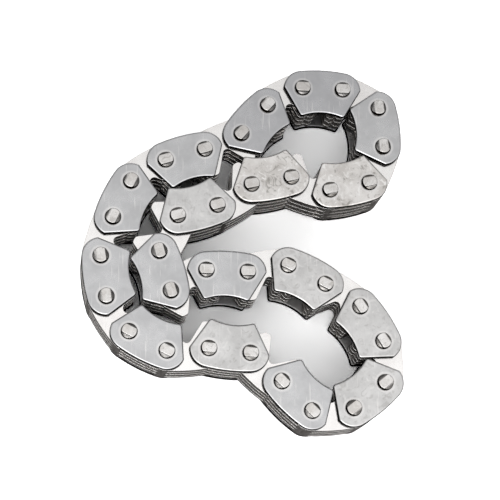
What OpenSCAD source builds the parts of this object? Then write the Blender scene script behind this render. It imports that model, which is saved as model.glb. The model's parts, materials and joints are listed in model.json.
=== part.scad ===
// Inverted-tooth transmission chain: an endless loop of toothed steel plates on
// round rivets, lying on its side in the folds in which it was dropped on a bench.
// Guide rows (two smooth outer plates and the toothed plates between them) take
// turns with toothed rows, which swing on the rivets of the guide rows.

/* [Chain] */
// Distance between the axes of neighbouring rivets
pitch = 9.525; // [9.3:0.025:11]
// Toothed plates between the two guide plates of a guide row
inner_plates = 3; // [1:1:5]

/* [Plates] */
// Thickness of every plate
plate_t = 1.3; // [0.8:0.05:2]
// Play between neighbouring plates of the stack
plate_gap = 0.06; // [0.03:0.01:0.2]
// Space between the round ends of neighbouring plates at one level
end_gap = 0.825; // [0.7:0.025:1.5]
// How far the straight flank cuts into the round end
flank_cut = 0.61; // [0.4:0.01:0.9]
// Angle of the outer flank from the upright
flank_angle = 30; // [27:0.5:33]

/* [Toothed plate] */
// Rise of the back above the round ends
toothed_rise = 0.29; // [0.1:0.01:0.35]
// Depth of the tooth tips below the rivet line
tooth_depth = 6.43; // [6:0.01:6.5]
// Radius on both corners of each tooth tip
tip_r = 0.86; // [0.4:0.01:1.1]
// Depth below the rivet line at which the two crotch faces would meet
crotch_depth = 0.95; // [0.5:0.01:1.6]
// Angle of each crotch face from the upright
crotch_angle = 35.5; // [31:0.5:38]
// Radius at the root of the crotch
crotch_r = 1.05; // [0.6:0.01:1.5]

/* [Guide plate] */
// Rise of the back above the round ends
guide_rise = 0.355; // [0.1:0.005:0.4]
// Depth of the top of the shallow arch below the rivet line
arch_depth = 5.94; // [5.4:0.01:6]
// Radius of the shallow arch between the two lobes
arch_r = 12.86; // [11:0.01:18]
// Radius at the foot of each lobe
lobe_r = 0.76; // [0.5:0.01:1.2]

/* [Rivets] */
// Diameter of a rivet
rivet_d = 3.5; // [2.8:0.05:4]
// Length of rivet that stands out past each guide plate
rivet_stand = 1.2; // [0.6:0.05:1.6]
// Width of the level strip between the two sloping flats of a rivet end
strip_w = 2.03; // [1.2:0.01:2.6]
// Slope of the flats from the end face
flat_slope = 45; // [35:1:60]

/* [Fits] */
// Radial clearance of a rivet in the eyes of a toothed row
eye_play = 0.05; // [0.02:0.01:0.1]
// Radial clearance of a rivet in the inner plates of its guide row
slip_play = 0.02; // [0.01:0.01:0.06]
// Radial clearance at the pivot where the loop is opened for the joints
open_play = 0.1; // [0.08:0.01:0.15]

/* [Hidden] */
$fn = 96;
// Overlap that lets a rounding circle cross the lines it rounds, not just touch them
bite = 0.0002;

// Direction of each link in degrees from +X, counter-clockwise, as the loop lies.
// The last two links have no direction of their own: they close the loop.
lay = [
    47.5, 27.5, -2.5, -28, -86, -113, -169, 161.5,
    -169.5, -148, -165, -117.5, -75, 30.5, -3, 9,
    -27.5, -34, -58.5, -90, -142.5, -177, 134.5, 136.5,
    173, -177, 152, 122, 97, 72.5, 63.5, 32.5
];
links = len(lay) + 2;
rows = links / 2;
// Link whose first eye sits on the pivot at which the loop is opened
open_link = 31;

steel_pale = [0.78, 0.78, 0.79];
steel_mid = [0.6, 0.59, 0.57];
steel_rivet = [0.7, 0.7, 0.7];

half_pitch = pitch / 2;
end_r = half_pitch - end_gap / 2;
flank_out = end_r - flank_cut;
level_h = plate_t + plate_gap;
levels = 2 * inner_plates + 3;
stack_h = levels * level_h - plate_gap;
chain_w = stack_h + 2 * rivet_stand;

function unit(a) = [cos(a), sin(a)];
function mirrored(p) = [-p.x, p.y];
function toward(p, q) = (q - p) / norm(q - p);

// Closing the loop: the last two links are the equal sides of a flat triangle
// whose third side is the gap that the other links leave
function run(count) =
    count == 0 ? [0, 0] : run(count - 1) + pitch * unit(lay[count - 1]);
gap_closed = -run(len(lay));
gap_heading = atan2(gap_closed.y, gap_closed.x);
gap_lean = acos(norm(gap_closed) / (2 * pitch));
headings = concat(lay, [gap_heading - gap_lean, gap_heading + gap_lean]);
last_rivet = run(len(lay)) + pitch * unit(headings[links - 2]);

// Outline points of the right-hand half of a plate, with the teeth toward -Y
flank_normal = [cos(flank_angle), -sin(flank_angle)];
flank_line = [sin(flank_angle), cos(flank_angle)];
flank_top = [half_pitch, 0] + flank_out * flank_normal + 2 * end_r * flank_line;
tip_out = [
    half_pitch + (flank_out - tooth_depth * sin(flank_angle)) / cos(flank_angle),
    -tooth_depth
];
tip_in = [(tooth_depth - crotch_depth) * tan(crotch_angle), -tooth_depth];
crotch = [0, -crotch_depth];

// Rounding of the corner at p between the outline points a and b
function half_corner(a, p, b) = acos(toward(p, a) * toward(p, b)) / 2;
function round_ends(a, p, b, r) =
    let (back = r / tan(half_corner(a, p, b)))
    [p + back * toward(p, a), p + back * toward(p, b)];
function round_centre(a, p, b, r) =
    let (middle = toward(p, a) + toward(p, b))
    p + middle / norm(middle) * r / sin(half_corner(a, p, b));

// The tip radius is limited by the width of the tip
tip_share = 1 / tan(half_corner(flank_top, tip_out, tip_in))
    + 1 / tan(half_corner(tip_out, tip_in, crotch));
tip_round = min(tip_r, 0.95 * (tip_out.x - tip_in.x) / tip_share);

// Lobe of a guide plate: a small circle that touches the flank and the arch
arch_centre = [0, -arch_depth - arch_r];
lobe_off = arch_centre * flank_normal
    - (half_pitch * cos(flank_angle) + flank_out - lobe_r);
lobe_centre = arch_centre - lobe_off * flank_normal
    + sqrt(pow(arch_r + lobe_r, 2) - lobe_off * lobe_off) * flank_line;
lobe_foot = arch_centre + arch_r * toward(arch_centre, lobe_centre);

// The back is one wide arc that runs tangent into both round ends
function back_drop(rise) = (half_pitch * half_pitch - rise * rise) / (2 * rise);
function back_lean(rise) = atan(half_pitch / back_drop(rise));

// Reach of a link's plates in direction a, for centring the loop on its origin
function rivet_at(i) = i >= links ? [0, 0] : i == links - 1 ? last_rivet : run(i);
function on_link(i, p) =
    (rivet_at(i) + rivet_at(i + 1)) / 2
    + p.x * unit(headings[i]) + p.y * unit(headings[i] + 90);
function turn_from_back(i, a) =
    let (turn = abs(a - headings[i] - 90) % 360) min(turn, 360 - turn);
function back_reach(i, a, rise) =
    turn_from_back(i, a) > back_lean(rise) ? -pitch * links
    : on_link(i, [0, -back_drop(rise)]) * unit(a) + end_r + rise + back_drop(rise);
tip_middle = round_centre(flank_top, tip_out, tip_in, tip_round);
function reach(i, a) = max([
    rivet_at(i) * unit(a) + end_r,
    back_reach(i, a, i % 2 == 0 ? guide_rise : toothed_rise),
    on_link(i, tip_middle) * unit(a) + tip_round,
    on_link(i, mirrored(tip_middle)) * unit(a) + tip_round,
    i % 2 == 1 ? -pitch * links : on_link(i, lobe_centre) * unit(a) + lobe_r,
    i % 2 == 1 ? -pitch * links : on_link(i, mirrored(lobe_centre)) * unit(a) + lobe_r
]);
function far(a) = max([for (i = [0:links - 1]) reach(i, a)]);
centre = [far(0) - far(180), far(90) - far(270)] / 2;

function two_digits(n) = n < 10 ? str("0", n) : str(n);
function row_name(kind, n) = str(kind, "_", two_digits(n));
kinds = ["guide_row", "rivets", "toothed_row"];

// Places its children on link i: X along the link, teeth toward -Y
module at_link(i) {
    middle = on_link(i, [0, 0]) - centre;
    translate([middle.x, middle.y, rivet_stand]) rotate(headings[i]) children();
}

// Blank of a plate: round ends, the crowned back between them, and a wide lower
// part that the outline, a list of its right-hand points, trims to shape
module blank(rise, outline) {
    drop = back_drop(rise);
    lean = back_lean(rise);
    over = [half_pitch, 0] + (end_r + 2 * rise) * [sin(lean), cos(lean)];
    wide = [half_pitch, 0] + 2 * end_r * flank_normal;
    deep = [wide.x, -2 * tooth_depth];
    right = concat([flank_top], outline);
    left = [for (k = [len(right) - 1:-1:0]) mirrored(right[k])];
    intersection() {
        union() {
            intersection() {
                translate([0, -drop]) circle(end_r + rise + drop);
                polygon([[-half_pitch, 0], [half_pitch, 0], over, mirrored(over)]);
            }
            for (side = [-1, 1]) translate([side * half_pitch, 0]) circle(end_r + bite);
            polygon([
                [-half_pitch, 0], [half_pitch, 0],
                wide, deep, mirrored(deep), mirrored(wide)
            ]);
        }
        polygon(concat(right, left));
    }
}

module eyes(first_d, second_d) {
    translate([-half_pitch, 0]) circle(d = first_d);
    translate([half_pitch, 0]) circle(d = second_d);
}

// Plate with two pointed teeth and the crotch between them
module toothed_outline(first_d, second_d) {
    foot_out = round_ends(flank_top, tip_out, tip_in, tip_round);
    foot_in = round_ends(tip_out, tip_in, crotch, tip_round);
    root = round_ends(tip_in, crotch, mirrored(tip_in), crotch_r)[0];
    tips = [
        round_centre(flank_top, tip_out, tip_in, tip_round),
        round_centre(tip_out, tip_in, crotch, tip_round)
    ];
    difference() {
        union() {
            blank(toothed_rise, concat(foot_out, foot_in, [root]));
            for (tip = tips) {
                translate(tip) circle(tip_round + bite);
                translate(mirrored(tip)) circle(tip_round + bite);
            }
        }
        translate(round_centre(tip_in, crotch, mirrored(tip_in), crotch_r))
            circle(crotch_r + bite);
        eyes(first_d, second_d);
    }
}

// Smooth outer plate: two lobes with a shallow arch between them
module guide_outline() {
    difference() {
        union() {
            difference() {
                blank(guide_rise, [lobe_centre + lobe_r * flank_normal, lobe_foot]);
                translate(arch_centre) circle(arch_r);
            }
            translate(lobe_centre) circle(lobe_r + bite);
            translate(mirrored(lobe_centre)) circle(lobe_r + bite);
        }
        eyes(rivet_d, rivet_d);
    }
}

module plate_at(level) {
    translate([0, 0, level * level_h]) linear_extrude(plate_t) children();
}

// Two guide plates, held apart by the toothed plates on the same two rivets
module guide_row(i) {
    at_link(i) {
        color(steel_pale) for (level = [0, levels - 1]) plate_at(level) guide_outline();
        color(steel_mid)
            for (k = [1:inner_plates])
                plate_at(2 * k)
                    toothed_outline(rivet_d + 2 * slip_play, rivet_d + 2 * slip_play);
    }
}

// Plates that share both rivets with their neighbours and swing on them
module toothed_row(i) {
    first_play = i == open_link ? open_play : eye_play;
    color(steel_mid)
        at_link(i)
            for (k = [0:inner_plates])
                plate_at(2 * k + 1)
                    toothed_outline(rivet_d + 2 * first_play, rivet_d + 2 * eye_play);
}

// Round rivet whose ends carry two sloping flats along the link
module rivet() {
    half_strip = strip_w / 2;
    slope_h = (rivet_d - half_strip) * tan(flat_slope);
    profile = [
        [-half_strip, 0], [half_strip, 0],
        [rivet_d, slope_h], [rivet_d, chain_w - slope_h],
        [half_strip, chain_w], [-half_strip, chain_w],
        [-rivet_d, chain_w - slope_h], [-rivet_d, slope_h]
    ];
    intersection() {
        cylinder(h = chain_w, d = rivet_d);
        rotate([90, 0, 90])
            translate([0, 0, -rivet_d]) linear_extrude(2 * rivet_d) polygon(profile);
    }
}

// The two rivets that are fixed in the guide plates of one guide row
module rivets(i) {
    color(steel_rivet)
        at_link(i)
            for (side = [-1, 1]) translate([side * half_pitch, 0, -rivet_stand]) rivet();
}

for (n = [1:rows]) {
    guide_row(2 * n - 2);
    rivets(2 * n - 2);
    toothed_row(2 * n - 1);
}
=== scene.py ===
import json
from math import atan2, radians

import bpy
from mathutils import Matrix, Vector


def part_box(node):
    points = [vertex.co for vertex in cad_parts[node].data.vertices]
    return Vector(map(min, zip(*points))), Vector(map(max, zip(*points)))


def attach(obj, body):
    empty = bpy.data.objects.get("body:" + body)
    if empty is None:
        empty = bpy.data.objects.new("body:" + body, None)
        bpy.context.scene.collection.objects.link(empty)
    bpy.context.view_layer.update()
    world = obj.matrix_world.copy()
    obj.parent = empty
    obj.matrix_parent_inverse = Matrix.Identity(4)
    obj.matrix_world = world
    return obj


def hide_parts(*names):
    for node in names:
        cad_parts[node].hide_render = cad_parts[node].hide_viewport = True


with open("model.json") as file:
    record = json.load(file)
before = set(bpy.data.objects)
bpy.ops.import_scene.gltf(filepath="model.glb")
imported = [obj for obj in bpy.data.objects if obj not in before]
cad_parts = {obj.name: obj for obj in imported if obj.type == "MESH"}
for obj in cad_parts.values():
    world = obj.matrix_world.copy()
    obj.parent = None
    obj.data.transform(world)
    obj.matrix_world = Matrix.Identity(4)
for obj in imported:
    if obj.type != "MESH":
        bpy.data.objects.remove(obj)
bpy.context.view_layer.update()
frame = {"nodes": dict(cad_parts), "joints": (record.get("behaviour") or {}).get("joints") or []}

# The camera looks down on the chain from the front left, as the photograph was taken.
# Its place and lens were fitted to the rivet ends in the picture.
bpy.ops.object.select_all(action="DESELECT")
bpy.context.scene.view_settings.view_transform = "Standard"
camera_data = bpy.data.cameras.new("camera")
camera_data.sensor_width = 36
camera_data.lens = 122.4
camera = bpy.data.objects.new("camera", camera_data)
camera.location = (-0.04805, -0.09412, 0.38898)
camera.rotation_euler = (radians(14.01), radians(-6.993), radians(-1.74))
bpy.context.scene.collection.objects.link(camera)
bpy.context.scene.camera = camera


# The floor is a plain sheet of white paper, on which the lower rivet ends rest. It shows
# white to the camera and in the steel, and greys where the chain keeps the light off it.
floor_size = 1.2
paper_shade = 0.85
paper_in_steel = 1.1
paper_to_camera = 2.15


def add_node(tree, kind, inputs=(), **settings):
    """Adds a shader node, with its settings, and its inputs as values or links"""
    node = tree.nodes.new(kind)
    for name, value in settings.items():
        setattr(node, name, value)
    for name, value in dict(inputs).items():
        if isinstance(value, bpy.types.NodeSocket):
            tree.links.new(value, node.inputs[name])
        else:
            node.inputs[name].default_value = value
    return node


def linear(hex_colour):
    """An sRGB hex colour as the linear RGBA that shader sockets take"""
    parts = [int(hex_colour[k:k + 2], 16) / 255 for k in (1, 3, 5)]
    return [c / 12.92 if c <= 0.04045 else ((c + 0.055) / 1.055) ** 2.4 for c in parts] + [1]


bpy.ops.mesh.primitive_plane_add(size=floor_size, location=(0, 0, 0))
floor = bpy.context.object
floor.name = "floor"
paper = bpy.data.materials.new("white_paper")
paper.use_nodes = True
tree = paper.node_tree
tree.nodes.clear()
path = add_node(tree, "ShaderNodeLightPath")
mirrored = add_node(tree, "ShaderNodeMath", {
    0: path.outputs["Is Glossy Ray"], 1: path.outputs["Is Transmission Ray"]}, operation="MAXIMUM")
in_steel = add_node(tree, "ShaderNodeMapRange", {
    "Value": mirrored.outputs[0], "To Min": paper_shade, "To Max": paper_in_steel})
white = add_node(tree, "ShaderNodeMapRange", {
    "Value": path.outputs["Is Camera Ray"], "To Min": in_steel.outputs[0], "To Max": paper_to_camera})
sheet = add_node(tree, "ShaderNodeBsdfDiffuse", {"Color": white.outputs[0]})
add_node(tree, "ShaderNodeOutputMaterial", {"Surface": sheet.outputs[0]})
floor.data.materials.append(paper)

# The light is a plain studio with one soft box: a pale room that is brightest high up in
# front, has pale walls behind and at both sides, and is dark low down in front. The paper
# gets the same light from all sides, which keeps it even inside the rings of the chain.
light_on_paper = 0.85
room = bpy.data.worlds.new("studio")
bpy.context.scene.world = room
room.use_nodes = True
tree = room.node_tree
tree.nodes.clear()
way = add_node(tree, "ShaderNodeTexCoord").outputs["Generated"]
bright_way = Vector((-0.1, -0.65, 0.72)).normalized()
toward_bright = add_node(tree, "ShaderNodeVectorMath", {0: way, 1: bright_way}, operation="DOT_PRODUCT")
brightness = add_node(tree, "ShaderNodeMapRange", {
    "Value": toward_bright.outputs["Value"],
    "From Min": 0.2, "From Max": 0.9, "To Min": 0.24, "To Max": 1.38})
way_parts = add_node(tree, "ShaderNodeSeparateXYZ", {0: way})
height = add_node(tree, "ShaderNodeMapRange", {
    "Value": way_parts.outputs["Z"], "From Min": 0.3, "From Max": 0.6, "To Min": 0.12, "To Max": 1.2})
overhead = add_node(tree, "ShaderNodeMath", {
    0: brightness.outputs[0], 1: height.outputs[0]}, operation="MULTIPLY")
behind = add_node(tree, "ShaderNodeMapRange", {
    "Value": way_parts.outputs["Y"], "From Min": -0.5, "From Max": -0.1, "To Min": 0, "To Max": 0.8})
low_wall = add_node(tree, "ShaderNodeMapRange", {
    "Value": way_parts.outputs["Z"], "From Min": 0.45, "From Max": 0.25, "To Min": 0, "To Max": 1})
walls = add_node(tree, "ShaderNodeMath", {
    0: behind.outputs[0], 1: low_wall.outputs[0]}, operation="MULTIPLY")
strength = add_node(tree, "ShaderNodeMath", {
    0: overhead.outputs[0], 1: walls.outputs[0]}, operation="MAXIMUM")
on_paper = add_node(tree, "ShaderNodeLightPath")
even_light = add_node(tree, "ShaderNodeMix", {
    "Factor": on_paper.outputs["Is Diffuse Ray"], 2: strength.outputs[0], 3: light_on_paper},
    data_type="FLOAT")
sky = add_node(tree, "ShaderNodeBackground", {
    "Color": linear("#FFFFFF"), "Strength": even_light.outputs[0]})
add_node(tree, "ShaderNodeOutputWorld", {"Surface": sky.outputs[0]})


def soft_box(name, place, width, depth, power):
    """A rectangular studio lamp that faces the middle of the chain"""
    data = bpy.data.lights.new(name, "AREA")
    data.shape = "RECTANGLE"
    data.size = width
    data.size_y = depth
    data.energy = power
    lamp = bpy.data.objects.new(name, data)
    lamp.location = place
    lamp.rotation_euler = (-Vector(place)).to_track_quat("-Z", "Y").to_euler()
    bpy.context.scene.collection.objects.link(lamp)


soft_box("front", place=(-0.2, -0.5, 0.55), width=0.5, depth=0.3, power=1.5)


# The chain is an endless loop of 34 links on as many rivets. Each link has its own frame,
# with X from its first rivet to its second and the teeth toward -Y. The joints say where
# the rivets stand. The loop is opened at pivot 32, so that rivet is found from the box of
# the two rivets of its guide row.
rows = 17
links = 2 * rows
pivots = {joint["name"]: Vector(joint["pos_m"]) for joint in frame["joints"]}
open_pivot = "pivot_32"
low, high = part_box("rivets_16")
pair_middle = (low + high) / 2
pivots[open_pivot] = 2 * pair_middle - pivots["pivot_31"]


def link_place(link):
    """The matrix that carries a mesh from a link's own frame to its place in the loop"""
    first = pivots[f"pivot_{link + 1:02d}"]
    second = pivots[f"pivot_{(link + 1) % links + 1:02d}"]
    way = second - first
    middle = (first + second) / 2
    turn = Matrix.Rotation(atan2(way.y, way.x), 4, "Z")
    return Matrix.Translation((middle.x, middle.y, 0)) @ turn


# Guide plates are blanked from hardened strip steel and tumbled, which leaves satin
# faces and rounded rims. They are pressed on the rivets at both ends of each guide row.
# Both plates of a row have the same outline: two lobes, a shallow arch and a curved back.
guide_rim = 0.00042
guide_bore_rim = 0.0002
guide_rim_steps = 6
half_pitch = (pivots["pivot_02"] - pivots["pivot_01"]).length / 2
bore_reach = 0.0025
same_point = 2e-6
same_plane = radians(0.5)


def lift_out(node, link):
    """The solids of a CAD node as separate meshes in the link's own frame, lowest first.
    A copy is merged first, because the node's own mesh is loose triangles"""
    bpy.ops.object.select_all(action="DESELECT")
    copy = bpy.data.objects.new("copy", frame["nodes"][node].data.copy())
    bpy.context.scene.collection.objects.link(copy)
    copy.data.materials.clear()
    copy.data.transform(link_place(link).inverted())
    bpy.context.view_layer.objects.active = copy
    copy.select_set(True)
    bpy.ops.object.mode_set(mode="EDIT")
    bpy.ops.mesh.select_all(action="SELECT")
    bpy.ops.mesh.remove_doubles(threshold=same_point)
    bpy.ops.mesh.dissolve_limited(angle_limit=same_plane)
    bpy.ops.mesh.separate(type="LOOSE")
    bpy.ops.object.mode_set(mode="OBJECT")
    solids = list(bpy.context.selected_objects)
    return sorted(solids, key=lambda s: sum((Vector(c) for c in s.bound_box), Vector()).z)


def round_rims(solid, widths, segments=3, sharp=60):
    """Rounds a plate's or rivet's sharp rims. widths is a list of (test, width), in which
    the test says from an edge's middle whether that width is meant for it. Corners where
    two rims meet are kept inside the solid's own height"""
    low_end = min(corner[2] for corner in solid.bound_box)
    high_end = max(corner[2] for corner in solid.bound_box)
    bpy.ops.object.select_all(action="DESELECT")
    bpy.context.view_layer.objects.active = solid
    solid.select_set(True)
    for test, width in widths:
        bpy.ops.object.mode_set(mode="EDIT")
        bpy.ops.mesh.select_mode(type="EDGE")
        bpy.ops.mesh.select_all(action="DESELECT")
        bpy.ops.mesh.edges_select_sharp(sharpness=radians(sharp))
        bpy.ops.object.mode_set(mode="OBJECT")
        points = solid.data.vertices
        for edge in solid.data.edges:
            middle = (points[edge.vertices[0]].co + points[edge.vertices[1]].co) / 2
            edge.select = edge.select and test(middle)
        bpy.ops.object.mode_set(mode="EDIT")
        bpy.ops.mesh.bevel(
            offset=width, segments=segments, profile=0.5, affect="EDGES", loop_slide=False)
        bpy.ops.object.mode_set(mode="OBJECT")
    for point in solid.data.vertices:
        point.co.z = min(max(point.co.z, low_end), high_end)


level_share = 0.9
exactly_level = 0.999
smooth_angle = radians(35)


def finish_piece(name, link, solids, materials, shares, body, node, low_share=0):
    """Joins copies of the solids of one link, and puts them in place on their body. Each
    material is for the faces whose normal has at least its share along Z, in falling order,
    and undersides count as level. Below the middle of the stack the first material needs
    low_share, where that is more, so that the lower rims take a darker material as painted
    shade. own_place keeps the link's own frame for the materials"""
    bpy.ops.object.select_all(action="DESELECT")
    copies = []
    for solid in solids:
        copy = bpy.data.objects.new(name, solid.data.copy())
        bpy.context.scene.collection.objects.link(copy)
        copy.select_set(True)
        copies.append(copy)
    piece = copies[0]
    bpy.context.view_layer.objects.active = piece
    if len(copies) > 1:
        bpy.ops.object.join()
    piece.name = name
    piece.data.name = name
    for material in materials:
        piece.data.materials.append(material)
    for face in piece.data.polygons:
        is_underside = face.normal.z < -level_share
        upright = 1 if is_underside else face.normal.z
        # Rims below the middle of the stack that lean down take the darker material as painted shade
        in_shade = face.center.z < pair_middle.z and upright < low_share
        face.material_index = max(sum(upright < share for share in shares), int(in_shade))
    bpy.ops.object.shade_smooth_by_angle(angle=smooth_angle)
    flat = piece.modifiers.new("flat_faces", "WEIGHTED_NORMAL")
    flat.keep_sharp = True
    flat.weight = 100
    bpy.ops.object.modifier_apply(modifier=flat.name)
    straight = {}
    for face in piece.data.polygons:
        if abs(face.normal.z) > exactly_level:
            straight.update({point: Vector((0, 0, round(face.normal.z))) for point in face.vertices})
    piece.data.normals_split_custom_set(
        [straight.get(corner.vertex_index, corner.normal) for corner in piece.data.loops])
    own_place = piece.data.attributes.new("own_place", "FLOAT_VECTOR", "POINT")
    for point, mark in zip(piece.data.vertices, own_place.data):
        mark.vector = point.co
    piece.data.transform(link_place(link))
    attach(piece, body)
    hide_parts(node)


def near_rivet(point):
    """True at the bore of a plate in a link's own frame"""
    return Vector((abs(point.x) - half_pitch, point.y)).length < bore_reach


def away_from_rivet(point):
    """True at the outer rim of a plate in a link's own frame"""
    return not near_rivet(point)


# Tumbled steel mirrors the room softly. Its stain is cloudy, its scuffs and scratches are
# pale, and a bright ring round each rivet is a painted highlight.
cloud_size = 0.005
rub_size = 0.002
scratch_width = 0.0004
scratch_stretch = 0.06
scratch_turn = radians(35)
grit_size = 0.00025
grit_depth = 0.00005
ring_inside = 0.0022
ring_outside = 0.0026
oil_stain = "#8A8680"
scuffed_steel = "#F8F6F4"
scratched_steel = "#F0EEEC"
ring_highlight_colour = "#F4F2F0"


def satin_steel(name, pale, dull, smooth, rough, scuff=0.1, smudge=0, grain=0.1, ring=0):
    """Satin steel from pale to dull and from smooth to rough, with rubbed scuffs, fine
    scratches and grit marks. smudge is the share of oil stain, ring that of the painted
    highlight ring round each rivet"""
    material = bpy.data.materials.new(name)
    material.use_nodes = True
    tree = material.node_tree
    tree.nodes.clear()
    place = add_node(tree, "ShaderNodeTexCoord").outputs["Object"]
    cloud = add_node(tree, "ShaderNodeTexNoise", {
        "Vector": place, "Scale": 1 / cloud_size, "Detail": 6, "Roughness": 0.62})
    shade = add_node(tree, "ShaderNodeValToRGB", {0: cloud.outputs["Fac"]})
    shade.color_ramp.elements[0].position = 0.38
    shade.color_ramp.elements[0].color = linear(dull)
    shade.color_ramp.elements[1].position = 0.62
    shade.color_ramp.elements[1].color = linear(pale)
    rub = add_node(tree, "ShaderNodeTexNoise", {
        "Vector": place, "Scale": 1 / rub_size, "Detail": 8, "Roughness": 0.66, "Distortion": 1.2})
    dark = add_node(tree, "ShaderNodeMapRange", {
        "Value": rub.outputs["Fac"],
        "From Min": 0.45, "From Max": 0.38, "To Min": 0, "To Max": smudge})
    stained = add_node(tree, "ShaderNodeMix", {
        "Factor": dark.outputs[0], 6: shade.outputs["Color"], 7: linear(oil_stain)},
        data_type="RGBA")
    worn = add_node(tree, "ShaderNodeMapRange", {
        "Value": rub.outputs["Fac"],
        "From Min": 0.56, "From Max": 0.64, "To Min": 0, "To Max": scuff})
    scuffed = add_node(tree, "ShaderNodeMix", {
        "Factor": worn.outputs[0], 6: stained.outputs[2], 7: linear(scuffed_steel)},
        data_type="RGBA")
    drawn = add_node(tree, "ShaderNodeMapping", {
        "Vector": place, "Rotation": (0, 0, scratch_turn), "Scale": (1, scratch_stretch, 1)})
    lines = add_node(tree, "ShaderNodeTexNoise", {
        "Vector": drawn.outputs[0], "Scale": 1 / scratch_width, "Detail": 2})
    scratch = add_node(tree, "ShaderNodeMapRange", {
        "Value": lines.outputs["Fac"],
        "From Min": 0.64, "From Max": 0.74, "To Min": 0, "To Max": 0.5})
    scratched = add_node(tree, "ShaderNodeMix", {
        "Factor": scratch.outputs[0], 6: scuffed.outputs[2], 7: linear(scratched_steel)},
        data_type="RGBA")
    own = add_node(tree, "ShaderNodeAttribute", attribute_name="own_place").outputs["Vector"]
    apart = add_node(tree, "ShaderNodeSeparateXYZ", {0: own})
    side = add_node(tree, "ShaderNodeMath", {0: apart.outputs["X"]}, operation="ABSOLUTE")
    along = add_node(tree, "ShaderNodeMath", {0: side.outputs[0], 1: half_pitch}, operation="SUBTRACT")
    from_rivet = add_node(tree, "ShaderNodeCombineXYZ", {"X": along.outputs[0], "Y": apart.outputs["Y"]})
    radius = add_node(tree, "ShaderNodeVectorMath", {0: from_rivet.outputs[0]}, operation="LENGTH")
    # A pale ring round each rivet's bore, mixed into the colour as a painted highlight
    ring_highlight_mask = add_node(tree, "ShaderNodeMapRange", {
        "Value": radius.outputs["Value"],
        "From Min": ring_inside, "From Max": ring_outside, "To Min": ring, "To Max": 0})
    colour = add_node(tree, "ShaderNodeMix", {
        "Factor": ring_highlight_mask.outputs[0], 6: scratched.outputs[2], 7: linear(ring_highlight_colour)},
        data_type="RGBA")
    gloss = add_node(tree, "ShaderNodeMapRange", {
        "Value": cloud.outputs["Fac"],
        "From Min": 0.35, "From Max": 0.65, "To Min": rough, "To Max": smooth})
    grit = add_node(tree, "ShaderNodeTexNoise", {
        "Vector": place, "Scale": 1 / grit_size, "Detail": 3})
    bump = add_node(tree, "ShaderNodeBump", {
        "Height": grit.outputs["Fac"], "Strength": grain, "Distance": grit_depth})
    skin = add_node(tree, "ShaderNodeBsdfPrincipled", {
        "Base Color": colour.outputs[2], "Metallic": 1, "Roughness": gloss.outputs[0],
        "Normal": bump.outputs[0]})
    add_node(tree, "ShaderNodeOutputMaterial", {"Surface": skin.outputs[0]})
    return material


# The blanked edge of a plate is dull, with drag lines across its thickness, and its dark
# colour is partly painted shade of the shaded sides and hollows of the stack. Seen at a
# flat angle its torn surface shines less than a smooth one.
drag_line = 0.0003
drag_stretch = 0.08
drag_depth = 0.00005


def sheared_steel(name, pale, dull, grazed, rough=0.42):
    """Sheared steel from pale to dull along its drag lines, with its tint when grazed"""
    material = bpy.data.materials.new(name)
    material.use_nodes = True
    tree = material.node_tree
    tree.nodes.clear()
    place = add_node(tree, "ShaderNodeTexCoord").outputs["Object"]
    flat = add_node(tree, "ShaderNodeMapping", {"Vector": place, "Scale": (1, 1, drag_stretch)})
    lines = add_node(tree, "ShaderNodeTexNoise", {
        "Vector": flat.outputs[0], "Scale": 1 / drag_line, "Detail": 3})
    shade = add_node(tree, "ShaderNodeValToRGB", {0: lines.outputs["Fac"]})
    shade.color_ramp.elements[0].position = 0.3
    shade.color_ramp.elements[0].color = linear(dull)
    shade.color_ramp.elements[1].position = 0.7
    shade.color_ramp.elements[1].color = linear(pale)
    bump = add_node(tree, "ShaderNodeBump", {
        "Height": lines.outputs["Fac"], "Strength": 0.3, "Distance": drag_depth})
    skin = add_node(tree, "ShaderNodeBsdfPrincipled", {
        "Base Color": shade.outputs["Color"], "Metallic": 1, "Roughness": rough,
        "Specular Tint": linear(grazed), "Normal": bump.outputs[0]})
    add_node(tree, "ShaderNodeOutputMaterial", {"Surface": skin.outputs[0]})
    return material


guide_plain = satin_steel("tumbled_steel", "#CCCCCD", "#C0C0C1", smooth=0.24, rough=0.36, ring=0.5)
# A darker copy of the plain tumbled steel, as painted shade
guide_painted_shade = satin_steel(
    "tumbled_steel_painted_shade", "#C1C1C3", "#B7B7B9", smooth=0.24, rough=0.36, scuff=0.05, ring=0.4)
guide_rubbed = satin_steel(
    "tumbled_steel_rubbed", "#DAD9D8", "#CAC9C8", smooth=0.28, rough=0.4,
    scuff=0.3, smudge=0.25, ring=0.5)
guide_worn = satin_steel(
    "tumbled_steel_worn", "#EBE8E5", "#D2CECA", smooth=0.32, rough=0.5,
    scuff=0.9, smudge=0.6, ring=0.6)
# The guide plates' near-black edge colour is partly painted shade
guide_edge_and_shade = sheared_steel("sheared_steel", "#2D2B2A", "#171615", grazed="#888583")
guide_solids = lift_out("guide_row_01", 0)
guide_rim_share = 0.7
# Below this share the lower guide plate's rims take the dark edge material, as painted shade
guide_shaded_rim_share = 0.97

# Most guide plates are alike. Two at the end of the small ring are darker, as painted
# shade, some are paler with more scuffs and stains, and two beside that ring are worn and
# stained all over.
shaded_rows = {1, 2}
rubbed_rows = {6, 9, 10, 11, 13}
worn_rows = {4, 5}
guide_faces = {row: guide_plain for row in range(1, rows + 1)}
guide_faces |= {row: guide_painted_shade for row in shaded_rows}
guide_faces |= {row: guide_rubbed for row in rubbed_rows}
guide_faces |= {row: guide_worn for row in worn_rows}
for plate in (guide_solids[0], guide_solids[-1]):
    round_rims(
        plate, [(away_from_rivet, guide_rim), (near_rivet, guide_bore_rim)], segments=guide_rim_steps)
for row in range(1, rows + 1):
    finish_piece(
        f"guide_plates_{row:02d}", 2 * row - 2, [guide_solids[0], guide_solids[-1]],
        [guide_faces[row], guide_edge_and_shade], [guide_rim_share], f"guide_link_{row:02d}",
        f"guide_row_{row:02d}", low_share=guide_shaded_rim_share)

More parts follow.
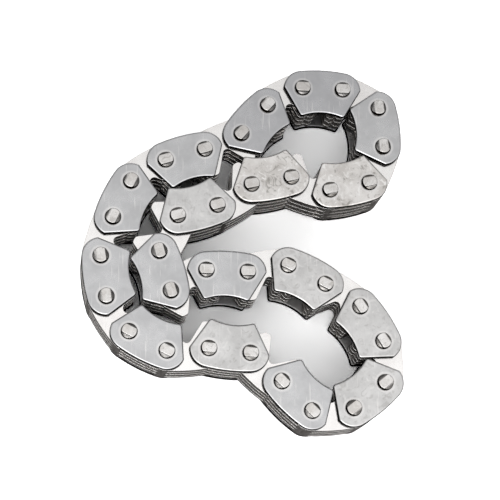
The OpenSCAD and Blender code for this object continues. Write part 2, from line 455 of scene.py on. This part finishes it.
# The inner plates of a guide row are toothed, blanked from the same strip and ground
# smooth, with small rims. They sit loosely on the rivets between the guide plates. Ground
# steel is the brightest face of the chain, and its edges are greyer than a guide plate's.
toothed_rim = 0.00007
toothed_rim_share = 0.85
toothed_face = satin_steel("ground_steel", "#FAF8F6", "#F2EFED", smooth=0.16, rough=0.22, grain=0.03)
# The toothed plates' dark edge colour is partly painted shade
toothed_edge_and_shade = sheared_steel("sheared_toothed_steel", "#716F6D", "#3B3938", grazed="#B6B3B1")
for plate in guide_solids[1:-1]:
    round_rims(plate, [(away_from_rivet, toothed_rim), (near_rivet, toothed_rim)])
for row in range(1, rows + 1):
    finish_piece(
        f"inner_plates_{row:02d}", 2 * row - 2, guide_solids[1:-1],
        [toothed_face, toothed_edge_and_shade], [toothed_rim_share], f"guide_link_{row:02d}",
        f"guide_row_{row:02d}")

# A toothed row is four of the same plates, which swing on the rivets of both of its
# neighbours and fill the gaps between their plates.
toothed_solids = lift_out("toothed_row_01", 1)
for plate in toothed_solids:
    round_rims(plate, [(away_from_rivet, toothed_rim), (near_rivet, toothed_rim)])
for row in range(1, rows + 1):
    finish_piece(
        f"toothed_plates_{row:02d}", 2 * row - 1, toothed_solids,
        [toothed_face, toothed_edge_and_shade], [toothed_rim_share], f"toothed_link_{row:02d}",
        f"toothed_row_{row:02d}")

# The rivets are turned from steel rod. After riveting, each end stands out past its
# guide plate with a level strip between two sloping flats. The strip is bright and finely
# scuffed, the milled flats are smooth and a little darker, and the round side is dull, with
# its near-black colour as painted shade.
rivet_rim = 0.00018
rivet_strip_rim = 0.00005
round_rim_from = 0.00165
round_rim_angle = 60
strip_rim_angle = 25
rivet_strip_share = 0.85
rivet_flat_share = 0.5


def on_rivet_end(point):
    """True at the round rims of both ends of a rivet in a link's own frame"""
    return Vector((abs(point.x) - half_pitch, point.y)).length > round_rim_from


def across_rivet_end(point):
    """True along the edges between the level strip and the flats"""
    return not on_rivet_end(point)


rivet_steel = satin_steel(
    "turned_rivet_steel", "#E8E6E4", "#D0CCC8", smooth=0.2, rough=0.3,
    scuff=0.3, smudge=0.3, grain=0.03)
rivet_flat = sheared_steel("milled_rivet_flat", "#CCCAC7", "#A6A3A0", grazed="#BEBCBA", rough=0.2)
# The round side's near-black colour is painted shade
rivet_side_shade = sheared_steel("turned_rivet_side_painted_shade", "#332F2B", "#1C1A18", grazed="#8A8580")
rivet_solids = lift_out("rivets_01", 0)
for rivet in rivet_solids:
    round_rims(rivet, [(on_rivet_end, rivet_rim)], sharp=round_rim_angle)
    round_rims(rivet, [(across_rivet_end, rivet_strip_rim)], sharp=strip_rim_angle)
for row in range(1, rows + 1):
    finish_piece(
        f"rivet_pair_{row:02d}", 2 * row - 2, rivet_solids,
        [rivet_steel, rivet_flat, rivet_side_shade], [rivet_strip_share, rivet_flat_share],
        f"guide_link_{row:02d}", f"rivets_{row:02d}")

for pattern in guide_solids + toothed_solids + rivet_solids:
    bpy.data.objects.remove(pattern)
